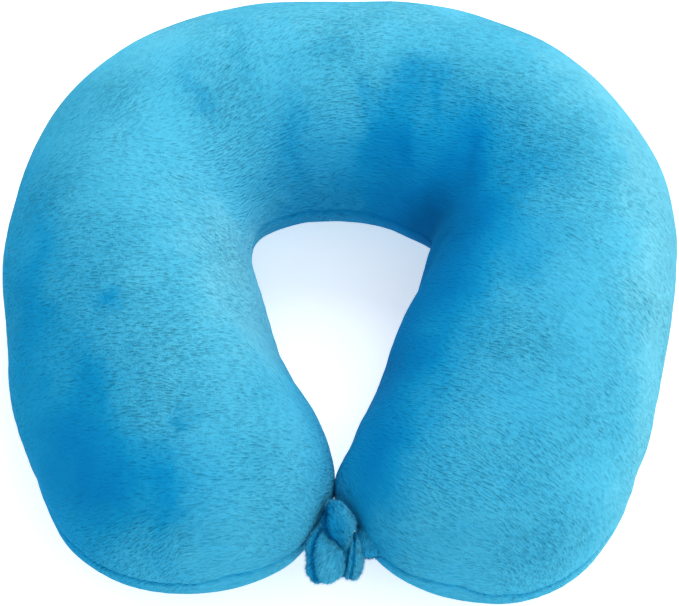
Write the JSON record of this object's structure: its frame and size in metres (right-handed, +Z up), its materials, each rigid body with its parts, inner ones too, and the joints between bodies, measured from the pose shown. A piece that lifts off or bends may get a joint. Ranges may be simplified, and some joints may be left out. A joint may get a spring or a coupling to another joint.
{
  "type": "neck pillow",
  "caption": "U-shaped plush travel neck pillow with a zipped cover, a fibre-filled inner and a loop-and-toggle closure between its arm ends.",
  "frame": {"origin": "on the surface the pillow lies on, under the middle of its bounding box", "axes": "+Z up through the pillow's thickness, +X across it to the toggle's arm, +Y from the arm ends towards the back of the neck"},
  "size_m": [0.3075, 0.2933, 0.0996],
  "materials": {
    "plush": "short-pile plush",
    "liner_cloth": "non-woven cloth",
    "fibre_fill": "polyester fibre",
    "zip_tape": "woven tape",
    "zip_coil": "nylon coil",
    "zip_metal": "painted die-cast metal"
  },
  "bodies": {
    "back": {"cover_top_back": "plush", "cover_bottom_back": "plush", "liner_back": "liner_cloth", "fibre_fill_back": "fibre_fill", "zip_tape_upper": "zip_tape", "zip_tape_lower": "zip_tape", "zip_coil_upper": "zip_coil", "zip_coil_lower": "zip_coil", "zip_top_stop_upper": "zip_metal", "zip_top_stop_lower": "zip_metal", "zip_bottom_stop": "zip_metal"},
    "left_arm": {"cover_top_left_arm": "plush", "cover_bottom_left_arm": "plush", "liner_left_arm": "liner_cloth", "fibre_fill_left_arm": "fibre_fill", "closure_loop": "plush"},
    "right_arm": {"cover_top_right_arm": "plush", "cover_bottom_right_arm": "plush", "liner_right_arm": "liner_cloth", "fibre_fill_right_arm": "fibre_fill", "toggle_root": "plush"},
    "toggle": {"closure_toggle": "plush"},
    "zip_slider": {"zip_slider": "zip_metal"},
    "zip_pull": {"zip_pull": "zip_metal"}
  },
  "joints": [
    {"name": "left_arm_spread", "type": "hinge", "parent": "back", "child": "left_arm", "pos_m": [-0.1472, 0.05, 0.047], "axis": [0, 0, -1], "range_deg": [0, 18], "stiffness_Nm_per_rad": 1.5, "deforming": ["closure_loop"]},
    {"name": "right_arm_spread", "type": "hinge", "parent": "back", "child": "right_arm", "pos_m": [0.1497, 0.0535, 0.047], "axis": [0, 0, 1], "range_deg": [0, 18], "stiffness_Nm_per_rad": 1.5},
    {"name": "toggle_swing", "type": "hinge", "parent": "right_arm", "child": "toggle", "pos_m": [-0.0027, -0.1176, 0.052], "axis": [-1, 0, 0], "range_deg": [0, 60]},
    {"name": "zip_slide", "type": "hinge", "parent": "back", "child": "zip_slider", "pos_m": [-0.0003, -0.2546, 0.047], "axis": [0, 0, 1], "range_deg": [0, 14], "deforming": ["zip_coil_upper", "zip_coil_lower"]},
    {"name": "zip_pull_flip", "type": "hinge", "parent": "zip_slider", "child": "zip_pull", "pos_m": [0.0514, 0.14346, 0.047], "axis": [0, 0, -1], "range_deg": [0, 160]}
  ]
}
